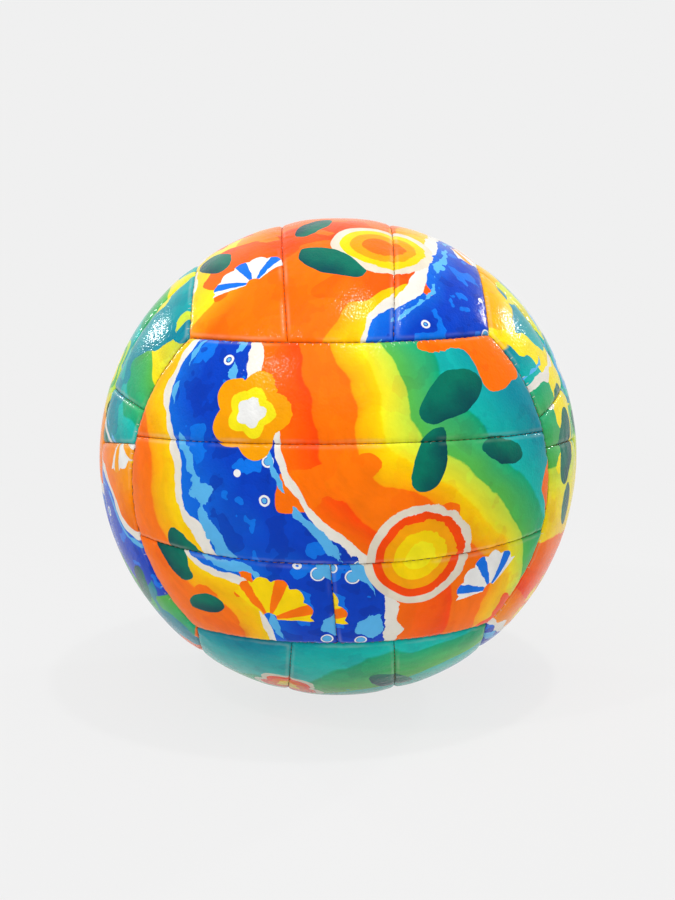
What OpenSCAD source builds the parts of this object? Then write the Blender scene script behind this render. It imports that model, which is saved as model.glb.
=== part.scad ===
// Machine-stitched beach volleyball, in millimetres.
// Origin at the ball's centre, +Z up, the front face towards -Y, the valve towards +Y.
// The cover has six faces of strips. A face is edged by four seam circles of the ball,
// and every seam surface is a cone whose point is the ball's centre.

/* [Ball] */
// Diameter over the cover
ball_d = 213; // [213:1:218]
// Width of a middle strip halfway along, straight across from seam to seam
strip_mid_w = 48; // [44:1:52]
// Width of a middle strip at its ends, straight across from seam to seam
strip_end_w = 42; // [38:1:42]

/* [Cover] */
// Thickness of the synthetic-leather skin
skin_t = 1.2; // [0.9:0.1:1.5]
// Radius of a panel's rolled edge along its seams
edge_r = 3.2; // [3:0.1:3.8]
// Gap between the turned-in edges of two panels at a seam
seam_gap = 0.3; // [0.25:0.05:0.45]
// Thickness of the foam pad behind a panel
foam_t = 3; // [2:0.25:4]
// Thickness of the woven cloth lining
lining_t = 0.6; // [0.4:0.1:0.8]
// Glue line between the skin, the foam and the lining
glue_gap = 0.1; // [0.08:0.01:0.14]
// Diameter of the stitching thread
thread_d = 0.6; // [0.4:0.1:0.7]
// Clearance between the thread and the panels' edges
thread_gap = 0.05; // [0.04:0.01:0.1]

/* [Bladder] */
// Gap between the lining and the inflated bladder
bladder_gap = 0.3; // [0.2:0.1:0.6]
// Wall of the butyl bladder
bladder_t = 1; // [0.8:0.1:1.4]

/* [Valve] */
// Diameter of the hole through the cover
valve_hole_d = 9; // [8:0.25:10]
// Clearance between the valve's neck and the holes it passes through
neck_gap = 0.25; // [0.15:0.05:0.4]
// Depth of the neck's rim below the cover's surface
neck_recess = 0.8; // [0.4:0.1:1.2]
// Diameter of the housing's flange, bonded inside the bladder
flange_d = 30; // [24:1:36]
// Thickness of the flange
flange_t = 1.2; // [0.8:0.1:1.6]
// Diameter of the housing's body inside the bladder
body_d = 11; // [10:0.5:13]
// Length of the housing's body below the flange
body_l = 12; // [10:1:16]
// Diameter of the core's shank
core_d = 4.6; // [4:0.1:5]
// Diameter of the core's head
core_head_d = 6.4; // [6:0.1:6.8]
// Thickness of the core's head
core_head_t = 2; // [1.5:0.25:2.5]
// Diameter of the core's retaining bead at its inner end
core_bead_d = 6; // [5.5:0.1:6.5]
// Clearance between the core and the housing
core_gap = 0.1; // [0.05:0.05:0.15]
// Diameter of the needle hole
needle_d = 2; // [1.8:0.1:2.2]
// Depth of the needle hole, down to the closed slit
needle_hole_l = 10; // [8:0.5:12]
// Depth of the chamfer that leads the needle in
needle_lead = 0.6; // [0.4:0.1:0.8]
// Diameter of the reinforcing ring around the valve hole
patch_d = 26; // [22:1:30]
// Thickness of the reinforcing ring
patch_t = 0.6; // [0.4:0.1:0.8]

/* [Cross seams] */
// Place of the cross seam in the front face's lower strip, in degrees along the strip
front_cross_at = -2; // [-6:1:6]
// Lean of the front face's cross seam, in degrees
front_cross_lean = 4; // [-8:1:8]
// Place of the upper cross seam in the left face's front strip, in degrees
left_upper_cross_at = -19; // [-24:1:-17]
// Lean of the left face's upper cross seam, in degrees
left_upper_cross_lean = -6; // [-10:1:6]
// Place of the lower cross seam in the left face's front strip, in degrees
left_lower_cross_at = -8; // [-9:1:10]
// Lean of the left face's lower cross seam, in degrees
left_lower_cross_lean = 8; // [-6:1:10]
// Place of the upper cross seam in the right face's front strip, in degrees
right_upper_cross_at = 17; // [16:1:24]
// Lean of the right face's upper cross seam, in degrees
right_upper_cross_lean = 12; // [-6:1:14]
// Place of the lower cross seam in the right face's front strip, in degrees
right_lower_cross_at = 7; // [-10:1:8]
// Lean of the right face's lower cross seam, in degrees
right_lower_cross_lean = -4; // [-6:1:6]

/* [Hidden] */
$fn = 96;

// Radii of the layers, from the outside in.
ball_r = ball_d / 2;
foam_r = ball_r - skin_t - glue_gap;
foam_in_r = foam_r - foam_t;
lining_r = foam_in_r - glue_gap;
lining_in_r = lining_r - lining_t;
bladder_r = lining_in_r - bladder_gap;
bladder_in_r = bladder_r - bladder_t;

// Where three seams meet, the corner lies as far out along X, Y and Z.
// So the circle that edges a face is at this angle from the face's own axis.
face_angle = acos(1 / sqrt(3));

// The two seams of a face's middle strip are circles too, each about an axis that leans
// back from across the strip, which makes the strip wider at its middle than at its ends.
mid_out = sqrt(ball_r ^ 2 - (strip_mid_w / 2) ^ 2);
end_out = ball_r * cos(face_angle);
strip_lean = atan((strip_mid_w - strip_end_w) / 2 / (mid_out - end_out));
strip_angle = acos((strip_mid_w / 2 * cos(strip_lean) - mid_out * sin(strip_lean)) / ball_r);
// Angle from a face's axis to the middle of an outer strip
outer_strip_angle = (asin(strip_mid_w / 2 / ball_r) + 90 - face_angle) / 2;

// The rolled edge is an arc of edge_r, which starts a little before the seam's wall and
// crests a little above the ball's surface, so that it meets both at a slight angle.
edge_lead_share = 0.97;
edge_crest_share = 0.985;
edge_centre_in = seam_gap / 2 + edge_lead_share * edge_r;
edge_centre_r = ball_r - edge_crest_share * edge_r;
// The thread lies in the groove, just clear of the two rolled edges.
thread_r = edge_centre_r
    + sqrt((edge_r + thread_d / 2 + thread_gap) ^ 2 - edge_centre_in ^ 2);
// Cut-back that keeps the end of a thread clear of the thread that it meets
thread_end = thread_d;
// Reach of the shapes that only cut or bound others
reach = ball_d;

neck_d = valve_hole_d - 2 * neck_gap;
neck_top_r = ball_r - neck_recess;
flange_r = bladder_in_r - glue_gap;
body_end_r = flange_r - flange_t - body_l;

// Each face: its name, and the turns that bring it from facing +Z, with its strips
// along X and its first outer strip on the +Y side, to its place on the ball.
FACES = [
    ["front", [90, 0, 0]],
    ["back", [90, 0, 180]],
    ["top", [0, 0, -90]],
    ["bottom", [180, 0, -90]],
    ["left", [180, 90, 0]],
    ["right", [180, -90, 0]],
];

// Each cross seam: its place and its lean
FRONT_CROSS = [front_cross_at, front_cross_lean];
LEFT_UPPER_CROSS = [left_upper_cross_at, left_upper_cross_lean];
LEFT_LOWER_CROSS = [left_lower_cross_at, left_lower_cross_lean];
RIGHT_UPPER_CROSS = [right_upper_cross_at, right_upper_cross_lean];
RIGHT_LOWER_CROSS = [right_lower_cross_at, right_lower_cross_lean];

// Each panel: its name, its face, its strip (1 and -1 outer, 0 middle), its main printed
// colour, and the cross seams that end it, each with the side of the seam that it keeps
PANELS = [
    ["front_upper", "front", 1, "darkorange", []],
    ["front_middle", "front", 0, "orangered", []],
    ["front_lower_left", "front", -1, "gold", [[FRONT_CROSS, -1]]],
    ["front_lower_right", "front", -1, "royalblue", [[FRONT_CROSS, 1]]],
    ["back_upper", "back", 1, "mediumseagreen", []],
    ["back_middle", "back", 0, "gold", []],
    ["back_lower", "back", -1, "darkorange", []],
    ["top_right", "top", 1, "orange", []],
    ["top_middle", "top", 0, "orangered", []],
    ["top_left", "top", -1, "gold", []],
    ["bottom_right", "bottom", 1, "teal", []],
    ["bottom_middle", "bottom", 0, "mediumaquamarine", []],
    ["bottom_left", "bottom", -1, "seagreen", []],
    ["left_front_upper", "left", 1, "turquoise", [[LEFT_UPPER_CROSS, -1]]],
    ["left_front_middle", "left", 1, "mediumblue",
        [[LEFT_UPPER_CROSS, 1], [LEFT_LOWER_CROSS, -1]]],
    ["left_front_lower", "left", 1, "darkorange", [[LEFT_LOWER_CROSS, 1]]],
    ["left_middle", "left", 0, "yellowgreen", []],
    ["left_back", "left", -1, "mediumseagreen", []],
    ["right_front_upper", "right", 1, "yellowgreen", [[RIGHT_UPPER_CROSS, 1]]],
    ["right_front_middle", "right", 1, "gold",
        [[RIGHT_UPPER_CROSS, -1], [RIGHT_LOWER_CROSS, 1]]],
    ["right_front_lower", "right", 1, "mediumblue", [[RIGHT_LOWER_CROSS, -1]]],
    ["right_middle", "right", 0, "yellowgreen", []],
    ["right_back", "right", -1, "turquoise", []],
];

// The panel that the valve comes out through
VALVE_PANEL = "back_middle";

// Turns of a face, by its name
function turns(face) = [for (f = FACES) if (f[0] == face) f[1]][0];

// Turns its children from facing +Z to a face's place on the ball.
module on_face(face) {
    rotate(turns(face)) children();
}

// Puts a seam's axis, which runs along Z, across a face's strip. The seam of the
// middle strip leans back by strip_lean. The edge of the face does not lean.
module across(side, lean) {
    rotate([side * (-90 - lean), 0, 0]) children();
}

// Puts a cross seam's axis along a strip, at its place and with its lean.
module along(strip, cross) {
    rotate([-strip * outer_strip_angle, 0, 0])
        rotate([0, cross[0], cross[1]])
            rotate([0, 90, 0]) children();
}

// Outline of one side of a seam, measured across from the seam and out from the ball's
// centre. It is cut back by inset, and its corner at the ball's surface is rolled.
module side_outline(inset) {
    intersection() {
        translate([seam_gap / 2 + inset, -reach]) square([reach, 2 * reach]);
        union() {
            translate([0, -reach]) square([reach, reach + edge_centre_r]);
            translate([edge_centre_in, -reach]) square([reach, 2 * reach]);
            translate([edge_centre_in, edge_centre_r]) circle(r = edge_r - inset);
        }
    }
}

// Everything on one side of a seam circle at this angle from the Z axis: the cap that
// holds the pole, or the rest.
module seam_side(angle, cap, inset) {
    rotate_extrude() intersection() {
        translate([0, -reach]) square([reach, 2 * reach]);
        rotate(-angle) mirror([cap ? 1 : 0, 0]) side_outline(inset);
    }
}

// The part of the ball that one panel covers, from its surface down to the centre, cut
// back by inset on every side and at its top. It is in its face's own place, facing +Z.
module panel_block(panel, inset) {
    strip = panel[2];
    intersection() {
        sphere(r = ball_r - inset);
        seam_side(face_angle, true, inset);
        if (strip == 0) across(1, strip_lean) seam_side(strip_angle, false, inset);
        if (strip == 0) across(-1, strip_lean) seam_side(strip_angle, false, inset);
        if (strip != 0) across(strip, strip_lean) seam_side(strip_angle, true, inset);
        if (strip != 0) across(strip, 0) seam_side(face_angle, false, inset);
        if (len(panel[4]) > 0) intersection_for(cut = panel[4])
            along(strip, cut[0]) seam_side(90, cut[1] > 0, inset);
    }
}

// Bore along a face's axis, outwards from the ball's centre
module face_bore(d) {
    cylinder(d = d, h = reach);
}

// Printed skin of one panel: a tray whose edges are turned in and stitched
module cover(panel) {
    color(panel[3]) on_face(panel[1]) difference() {
        panel_block(panel, 0);
        panel_block(panel, skin_t);
        sphere(r = lining_in_r);
        if (panel[0] == VALVE_PANEL) face_bore(valve_hole_d);
    }
}

// Foam pad glued inside one panel's skin
module foam(panel) {
    color("whitesmoke") on_face(panel[1]) difference() {
        panel_block(panel, skin_t + glue_gap);
        sphere(r = foam_in_r);
        if (panel[0] == VALVE_PANEL) face_bore(valve_hole_d);
        if (panel[0] == VALVE_PANEL) patch_block(glue_gap);
    }
}

// Woven cloth glued behind the foam pads of one face, a cut for each panel
module lining(face) {
    color("lightgray") on_face(face)
        for (panel = PANELS)
            if (panel[1] == face) difference() {
                intersection() {
                    panel_block(panel, skin_t + glue_gap);
                    sphere(r = lining_r);
                }
                sphere(r = lining_in_r);
                if (panel[0] == VALVE_PANEL) face_bore(valve_hole_d);
            }
}

// One whole ring of thread around a seam circle at this angle from the Z axis
module thread_ring(angle) {
    rotate_extrude() rotate(-angle) translate([0, thread_r]) circle(d = thread_d);
}

// Thread in the seams between faces: each face carries the two arcs at its strips' ends
module face_seam_thread() {
    color("saddlebrown")
        for (face = FACES) on_face(face[0]) intersection() {
            thread_ring(face_angle);
            across(1, 0) seam_side(face_angle, false, thread_end);
            across(-1, 0) seam_side(face_angle, false, thread_end);
        }
}

// Thread in the seams between a face's strips, and in the cross seams
module strip_seam_thread() {
    color("saddlebrown") {
        for (face = FACES, side = [-1, 1]) on_face(face[0]) intersection() {
            across(side, strip_lean) thread_ring(strip_angle);
            seam_side(face_angle, true, thread_end);
        }
        for (panel = PANELS, cut = panel[4])
            if (cut[1] > 0) on_face(panel[1]) intersection() {
                along(panel[2], cut[0]) thread_ring(90);
                across(panel[2], strip_lean) seam_side(strip_angle, true, thread_end);
                across(panel[2], 0) seam_side(face_angle, false, thread_end);
                seam_side(face_angle, true, thread_end);
            }
    }
}

// Hollow rubber ball that holds the air, with a hole for the valve's neck
module bladder() {
    color("dimgray") on_face("back") difference() {
        sphere(r = bladder_r);
        sphere(r = bladder_in_r);
        face_bore(valve_hole_d);
    }
}

// Space of the reinforcing ring, larger by gap at its rim and its outer side
module patch_block(gap) {
    intersection() {
        sphere(r = foam_in_r + patch_t + gap);
        cylinder(r = patch_d / 2 + gap, h = reach);
    }
}

// Cloth ring around the valve hole, between the foam and the lining
module valve_hole_patch() {
    color("gainsboro") on_face("back") difference() {
        patch_block(0);
        sphere(r = foam_in_r);
        face_bore(valve_hole_d);
    }
}

// Outline of the core, from its axis: shank, head, and retaining bead at the inner end
module core_outline(gap) {
    bead_r = core_bead_d / 2 + gap;
    translate([0, body_end_r - gap])
        square([core_d / 2 + gap, neck_top_r - body_end_r]);
    translate([0, neck_top_r - core_head_t - gap])
        square([core_head_d / 2 + gap, core_head_t + 2 * gap]);
    intersection() {
        translate([0, body_end_r + core_bead_d / 2]) circle(r = bead_r);
        square([bead_r, reach]);
    }
}

// Moulded rubber housing: neck through the cover, flange bonded inside the bladder, body
module valve_housing() {
    color("black") on_face("back") difference() {
        union() {
            translate([0, 0, body_end_r]) cylinder(d = neck_d, h = neck_top_r - body_end_r);
            translate([0, 0, body_end_r]) cylinder(d = body_d, h = body_l + flange_t / 2);
            intersection() {
                cylinder(d = flange_d, h = reach);
                difference() {
                    sphere(r = flange_r);
                    sphere(r = flange_r - flange_t);
                }
            }
        }
        rotate_extrude() core_outline(core_gap);
    }
}

// Rubber plug in the housing, with the blind hole that guides the inflation needle
module valve_core() {
    color("dimgray") on_face("back") difference() {
        rotate_extrude() core_outline(0);
        translate([0, 0, neck_top_r - needle_hole_l]) cylinder(d = needle_d, h = reach);
        translate([0, 0, neck_top_r - needle_lead])
            cylinder(d1 = needle_d, d2 = needle_d + 4 * needle_lead, h = 2 * needle_lead);
    }
}

for (panel = PANELS) {
    cover(panel);
    foam(panel);
}
for (face = FACES)
    lining(face[0]);
face_seam_thread();
strip_seam_thread();
bladder();
valve_housing();
valve_core();
valve_hole_patch();
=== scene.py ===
import math

import bmesh
import bpy
import numpy as np
from mathutils import Matrix, Vector


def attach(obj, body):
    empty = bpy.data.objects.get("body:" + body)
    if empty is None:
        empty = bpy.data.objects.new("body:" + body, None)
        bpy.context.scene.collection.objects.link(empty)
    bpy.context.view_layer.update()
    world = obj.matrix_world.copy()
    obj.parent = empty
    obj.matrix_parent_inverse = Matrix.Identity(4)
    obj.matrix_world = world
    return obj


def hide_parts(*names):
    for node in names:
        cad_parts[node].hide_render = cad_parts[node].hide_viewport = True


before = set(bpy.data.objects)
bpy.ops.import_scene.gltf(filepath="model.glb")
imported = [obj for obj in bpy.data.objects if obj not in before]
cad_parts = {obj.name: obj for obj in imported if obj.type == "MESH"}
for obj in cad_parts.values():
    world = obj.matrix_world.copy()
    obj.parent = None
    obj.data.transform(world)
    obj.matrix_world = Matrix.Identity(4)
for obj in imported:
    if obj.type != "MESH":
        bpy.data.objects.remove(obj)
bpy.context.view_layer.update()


# Cover panels of the front face. Each real panel is a strip of printed synthetic leather,
# cut flat, padded with foam, wrapped over the ball and turned in at its four edges, where
# a lockstitch joins it to its neighbours. All six faces' panels are made this way.
MM = 0.001
BALL_R = 106.5 * MM
# A face's edges are circles this far from their own axes, and meet as a cube's edges do
FACE_ANGLE = math.acos(1 / math.sqrt(3))
# The seams of a middle strip: how far their axes lean back, and their height on the ball
STRIP_LEAN = math.radians(4.057)
STRIP_RISE = math.radians(90 - 81.04)
# Angle from a face's axis to the middle of an outer strip
OUTER_STRIP = math.radians(24.14)
SKIN_T = 1.1 * MM
STITCH_PITCH = 3.1 * MM
VALVE_HOLE_R = 4.5 * MM
# Each face: where its strips run, where they lie side by side, and where it faces
FACE_WAYS = {
    "front": ((1, 0, 0), (0, 0, 1), (0, -1, 0)),
    "back": ((-1, 0, 0), (0, 0, 1), (0, 1, 0)),
    "top": ((0, -1, 0), (1, 0, 0), (0, 0, 1)),
    "bottom": ((0, 1, 0), (1, 0, 0), (0, 0, -1)),
    "left": ((0, 0, -1), (0, -1, 0), (-1, 0, 0)),
    "right": ((0, 0, 1), (0, -1, 0), (1, 0, 0)),
}


class Seam:
    """A seam is a circle on the ball: the direction of its axis, and the angle that it
    stands above the ball's middle plane across that axis."""

    # Stitches are counted from this direction, which is no seam's axis
    COUNT_FROM = (0.36, 0.48, 0.8)

    def __init__(self, axis, rise):
        self.axis, self.rise = np.array(axis, float), rise

    def towards(self, other, share):
        """The axes and rises of the circles at these shares of the way to another seam."""
        turn = max(math.acos(np.clip(self.axis @ other.axis, -1, 1)), 1e-6)
        here, there = np.sin((1 - share) * turn), np.sin(share * turn)
        axes = (here[:, None] * self.axis + there[:, None] * other.axis) / math.sin(turn)
        return axes, self.rise + share * (other.rise - self.rise)

    def on_ball(self, face):
        """The same circle in the ball's own directions instead of the face's."""
        return Seam(self.axis @ np.array(FACE_WAYS[face], float), self.rise)

    def distance(self, points):
        """How far each point of the ball's unit sphere is from the seam, over the surface."""
        return np.abs(np.arcsin(np.clip(points @ self.axis, -1, 1)) - self.rise) * BALL_R

    def count(self):
        """How many stitches go round the whole circle."""
        return round(2 * math.pi * BALL_R * math.cos(self.rise) / STITCH_PITCH)

    def run(self, points, middle=None):
        """Each point's place along the seam, in stitches. Both panels at a seam count alike.
        Given a panel's middle, the count doesn't jump on that side of the ball."""
        sign = 1 if self.axis[np.argmax(np.abs(self.axis) > 1e-6)] > 0 else -1
        axis = sign * self.axis
        side = np.cross(axis, self.COUNT_FROM)
        side /= np.linalg.norm(side)
        turn = np.arctan2(points @ np.cross(axis, side), points @ side)
        run = turn * self.count() / (2 * math.pi)
        if middle is not None:
            run -= np.round((run - self.run(middle)) / self.count()) * self.count()
        return run


def cross_seam(strip, place, lean):
    """A seam straight across an outer strip, at its place along it and with its lean."""
    p, l, tip = math.radians(place), math.radians(lean), -strip * OUTER_STRIP
    x, y, z = math.cos(l) * math.cos(p), math.sin(l) * math.cos(p), -math.sin(p)
    return Seam(
        (x, y * math.cos(tip) - z * math.sin(tip), y * math.sin(tip) + z * math.cos(tip)), 0
    )


STRIP_START = Seam((0, 0, 1), math.pi / 2 - FACE_ANGLE)
STRIP_MIDDLE = Seam((1, 0, 0), 0)
STRIP_END = Seam((0, 0, -1), FACE_ANGLE - math.pi / 2)
FACE_LOW = Seam((0, 1, 0), FACE_ANGLE - math.pi / 2)
MIDDLE_LOW = Seam((0, math.cos(STRIP_LEAN), math.sin(STRIP_LEAN)), -STRIP_RISE)
MIDDLE_HIGH = Seam((0, math.cos(STRIP_LEAN), -math.sin(STRIP_LEAN)), STRIP_RISE)
FACE_HIGH = Seam((0, 1, 0), math.pi / 2 - FACE_ANGLE)
FACE_EDGES = (STRIP_START, STRIP_END, FACE_LOW, FACE_HIGH)
STRIP_SIDES = {
    -1: (FACE_LOW, MIDDLE_LOW),
    0: (MIDDLE_LOW, MIDDLE_HIGH),
    1: (MIDDLE_HIGH, FACE_HIGH),
}


def wrapped(sides, ends, across, along):
    """Points of the unit sphere at these shares across and along a panel, in its face's
    own directions. Each is where one circle along the strip meets one across it."""
    # Between two opposite ends the circles turn by way of the strip's middle
    if ends[0].axis @ ends[1].axis < -0.99:
        first, second = along < 0.5, along >= 0.5
        axes, rises = np.zeros((len(along), 3)), np.zeros(len(along))
        axes[first], rises[first] = ends[0].towards(STRIP_MIDDLE, 2 * along[first])
        axes[second], rises[second] = STRIP_MIDDLE.towards(ends[1], 2 * along[second] - 1)
    else:
        axes, rises = ends[0].towards(ends[1], along)
    side_axes, side_rises = sides[0].towards(sides[1], across)
    a, b, c = np.sin(rises), np.sin(side_rises), (axes * side_axes).sum(1)
    upright = np.cross(axes, side_axes)
    spare = (upright**2).sum(1)
    p, q = (a - b * c) / spare, (b - a * c) / spare
    rest = np.sqrt(np.maximum(1 - (p * p + q * q + 2 * p * q * c), 0) / spare)
    return p[:, None] * axes + q[:, None] * side_axes + rest[:, None] * upright


def rolled_edge(distance):
    """How far the leather lies under the ball's surface, this far from a seam."""
    reach, depth = 2.4 * MM, 1.2 * MM
    x = np.clip(1 - distance / reach, 0, 0.999)
    return depth * (1 - np.sqrt(1 - x**2))


def puckers(stitches, distance, draw):
    """The stitches pull the edge down at each needle hole and draw faint folds from it."""
    scallop_depth, scallop_reach = 0.05 * MM, 1.9 * MM
    fold_depth, fold_reach = 0.06 * MM, 4 * MM
    # Folds repeat every so many stitches
    fold_lengths = (1.9, 2.7, 4.3, 6.1)
    scallop = np.exp(-((distance / scallop_reach) ** 2)) * np.cos(2 * math.pi * stitches)
    folds = sum(
        np.sin(2 * math.pi * stitches / length + phase)
        for length, phase in zip(fold_lengths, draw.uniform(0, 2 * math.pi, len(fold_lengths)))
    )
    return scallop_depth * scallop + fold_depth * np.exp(-distance / fold_reach) * folds


def rows(length, step):
    """Places of the rows of points over a length: close together on the rolled edges."""
    edge = np.array([0.06, 0.14, 0.27, 0.45, 0.7, 1.02, 1.45, 2.1, 2.9]) * MM
    inner = np.linspace(edge[-1], length - edge[-1], round((length - 2 * edge[-1]) / step) + 1)
    return np.concatenate([edge, inner[1:-1], length - edge[::-1]]) - length / 2


def select_edges(mesh_object, wanted):
    """Selects the open edges whose two ends both pass a test on their place."""
    bpy.ops.mesh.select_mode(type="EDGE")
    bpy.ops.mesh.select_all(action="DESELECT")
    mesh = bmesh.from_edit_mesh(mesh_object.data)
    for edge in mesh.edges:
        edge.select = edge.is_boundary and all(wanted(v.co) for v in edge.verts)
    bmesh.update_edit_mesh(mesh_object.data)


def finish_skin(piece):
    """Turns a skin's faces outwards, gives it its thickness inwards and shades it smooth."""
    bpy.ops.object.mode_set(mode="EDIT")
    bpy.ops.mesh.select_all(action="SELECT")
    bpy.ops.mesh.normals_make_consistent(inside=False)
    bpy.ops.object.mode_set(mode="OBJECT")
    if piece.data.polygons[0].normal @ piece.data.polygons[0].center < 0:
        piece.data.flip_normals()
    wall = piece.modifiers.new("wall", "SOLIDIFY")
    wall.thickness, wall.offset = SKIN_T, -1
    bpy.ops.object.modifier_apply(modifier=wall.name)
    bpy.ops.object.shade_smooth_by_angle(angle=math.radians(50))


def valve_hole(piece):
    """Cuts the flat panel's middle away in a square and draws the edge in to the hole."""
    # The square's half side, and the rings of faces that lead from it to the round hole
    half, margin, steps, crowding = 8 * MM, 1.5 * MM, 7, 1.3
    bpy.ops.mesh.select_mode(type="FACE")
    bpy.ops.mesh.select_all(action="DESELECT")
    mesh = bmesh.from_edit_mesh(piece.data)
    for face in mesh.faces:
        middle = face.calc_center_median()
        face.select = max(abs(middle.x), abs(middle.y)) < half
    bmesh.update_edit_mesh(piece.data)
    bpy.ops.mesh.delete(type="FACE")
    for step in range(steps):
        select_edges(piece, lambda co: max(abs(co.x), abs(co.y)) < half + margin)
        bpy.ops.mesh.extrude_edges_move()
        mesh = bmesh.from_edit_mesh(piece.data)
        for vert in mesh.verts:
            if vert.select:
                out = math.hypot(vert.co.x, vert.co.y)
                left = steps - step
                near = out + (VALVE_HOLE_R - out) * (1 - ((left - 1) / left) ** crowding)
                vert.co.x *= near / out
                vert.co.y *= near / out
        bmesh.update_edit_mesh(piece.data)


def flat_sheet(name, x_rows, y_rows, hole):
    """A panel's leather before it is laid over the ball: a flat grid round the origin, with
    x along the strip, whose edges are turned down."""
    bpy.ops.object.select_all(action="DESELECT")
    bpy.ops.mesh.primitive_grid_add(
        x_subdivisions=len(x_rows) - 1, y_subdivisions=len(y_rows) - 1, size=1
    )
    piece = bpy.context.object
    piece.name = piece.data.name = name
    for vert in piece.data.vertices:
        vert.co.x = x_rows[round((vert.co.x + 0.5) * (len(x_rows) - 1))]
        vert.co.y = y_rows[round((vert.co.y + 0.5) * (len(y_rows) - 1))]
    bpy.ops.object.mode_set(mode="EDIT")
    if hole:
        valve_hole(piece)
    select_edges(
        piece, lambda co: max(abs(co.x) - x_rows[-1], abs(co.y) - y_rows[-1]) > -0.01 * MM
    )
    # The edge is turned in by two rows of faces, this deep
    for depth in (0.9 * MM, 1.5 * MM):
        bpy.ops.mesh.extrude_edges_move(TRANSFORM_OT_translate={"value": (0, 0, -depth)})
    bpy.ops.object.mode_set(mode="OBJECT")
    return piece


def leather_height(points, nearest, distances, runs, draw):
    """How far from the ball's middle the leather lies: swollen by the foam between its
    seams, rolled down and puckered beside them, and slightly uneven all over."""
    edge_drop, swell, swell_reach = 0.3 * MM, 0.6 * MM, 5.5 * MM
    height = BALL_R - edge_drop + swell * (1 - np.exp(-((nearest / swell_reach) ** 2)))
    height -= rolled_edge(nearest)
    for run, distance in zip(runs, distances):
        height += puckers(run, distance, draw)
    unevenness, waves, spin = 0.04 * MM, 14, 9
    for way in draw.normal(0, 1, (4, 3)):
        height += unevenness * np.sin(points @ way * waves + way[0] * spin)
    return height


def hole_rim(flat):
    """How far the leather is turned down round the valve's hole."""
    rim_r, dip, dip_reach = 0.9 * MM, 0.25 * MM, 4 * MM
    out = np.hypot(flat[:, 0], flat[:, 1]) - VALVE_HOLE_R
    lip = np.clip(rim_r - out, 0, rim_r)
    return rim_r - np.sqrt(rim_r**2 - lip**2) + dip * np.exp(-out / dip_reach)


def cover_panel(name, face, strip, finish, start=None, end=None, hole=False):
    """Makes one panel and puts it in place of its CAD node."""
    sides = STRIP_SIDES[strip]
    ends = (start or STRIP_START, end or STRIP_END)
    ways = np.array(FACE_WAYS[face], float)
    spine = wrapped(sides, ends, np.full(200, 0.5), np.linspace(0, 1, 200))
    girth = wrapped(sides, ends, np.linspace(0, 1, 60), np.full(60, 0.5))
    length, width = (
        np.linalg.norm(np.diff(line, axis=0), axis=1).sum() * BALL_R for line in (spine, girth)
    )
    piece = flat_sheet(
        name + "_cover_leather", rows(length, 0.85 * MM), rows(width, 0.95 * MM), hole
    )
    flat = np.zeros(len(piece.data.vertices) * 3)
    piece.data.vertices.foreach_get("co", flat)
    flat = flat.reshape(-1, 3)
    points = wrapped(sides, ends, flat[:, 1] / width + 0.5, flat[:, 0] / length + 0.5) @ ways
    middle = wrapped(sides, ends, np.array([0.5]), np.array([0.5])) @ ways
    seams = [seam.on_ball(face) for seam in (*sides, *ends)]
    distances = np.array([seam.distance(points) for seam in seams])
    runs = np.array([seam.run(points, middle) for seam in seams])
    # The distance to the nearest seam, rounded off where two seams meet
    corner_r = 0.45 * MM
    nearest = -corner_r * np.log(np.exp(-distances / corner_r).sum(0))
    draw = np.random.default_rng(sum(map(ord, name)))
    height = leather_height(points, nearest, distances, runs, draw)
    if hole:
        height -= hole_rim(flat)
    piece.data.vertices.foreach_set("co", (points * (height + flat[:, 2])[:, None]).ravel())
    # Panels are cut from a printed sheet, so the print doesn't quite meet at the seams, and
    # least of all where a strip is pieced together
    cuts = (start is not None) + (end is not None)
    slip = (draw.uniform(-1, 1) * (2 + 14 * cuts), draw.uniform(-2, 2), 0)
    shift = slip @ ways * MM
    closest, next_closest = np.sort(distances, axis=0)[:2]
    own_seam = distances.argmin(0)
    face_edge = np.array([seam in FACE_EDGES for seam in (*sides, *ends)], float)
    # No needle hole pulls at a corner, where two seams are this near to one another
    corner_reach = 1.5 * MM
    for label, values in (
        ("seam_distance", np.maximum(nearest, 0) / MM),
        ("stitch_run", runs[own_seam, np.arange(len(points))]),
        ("stitch_pull", np.clip((next_closest - closest) / corner_reach, 0, 1)),
        ("face_edge", face_edge[own_seam]),
        *(("shift_" + axis, np.full(len(points), by)) for axis, by in zip("xyz", shift)),
    ):
        piece.data.attributes.new(label, "FLOAT", "POINT").data.foreach_set("value", values)
    finish_skin(piece)
    piece.data.materials.append(finish)
    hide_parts(name + "_cover")
    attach(piece, "root")


class Value:
    """A number that changes over a surface. Sums, products and tests add Math nodes."""

    def __init__(self, nodes, socket):
        self.nodes, self.socket = nodes, socket

    def math(self, operation, *others):
        """A Math node whose first input is this value."""
        return self.nodes.add(
            "ShaderNodeMath", {"operation": operation}, dict(enumerate((self, *others)))
        )

    def __add__(self, other):
        return self.math("ADD", other)

    def __sub__(self, other):
        return self.math("SUBTRACT", other)

    def __mul__(self, other):
        return self.math("MULTIPLY", other)

    def __truediv__(self, other):
        return self.math("DIVIDE", other)

    def __neg__(self):
        return self * -1

    def __rsub__(self, other):
        return -self + other

    def __gt__(self, other):
        return self.math("GREATER_THAN", other)

    def __lt__(self, other):
        return self.math("LESS_THAN", other)

    def __abs__(self):
        return self.math("ABSOLUTE")

    def cos(self):
        return self.math("COSINE")

    def sin(self):
        return self.math("SINE")

    __radd__ = __add__


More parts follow.
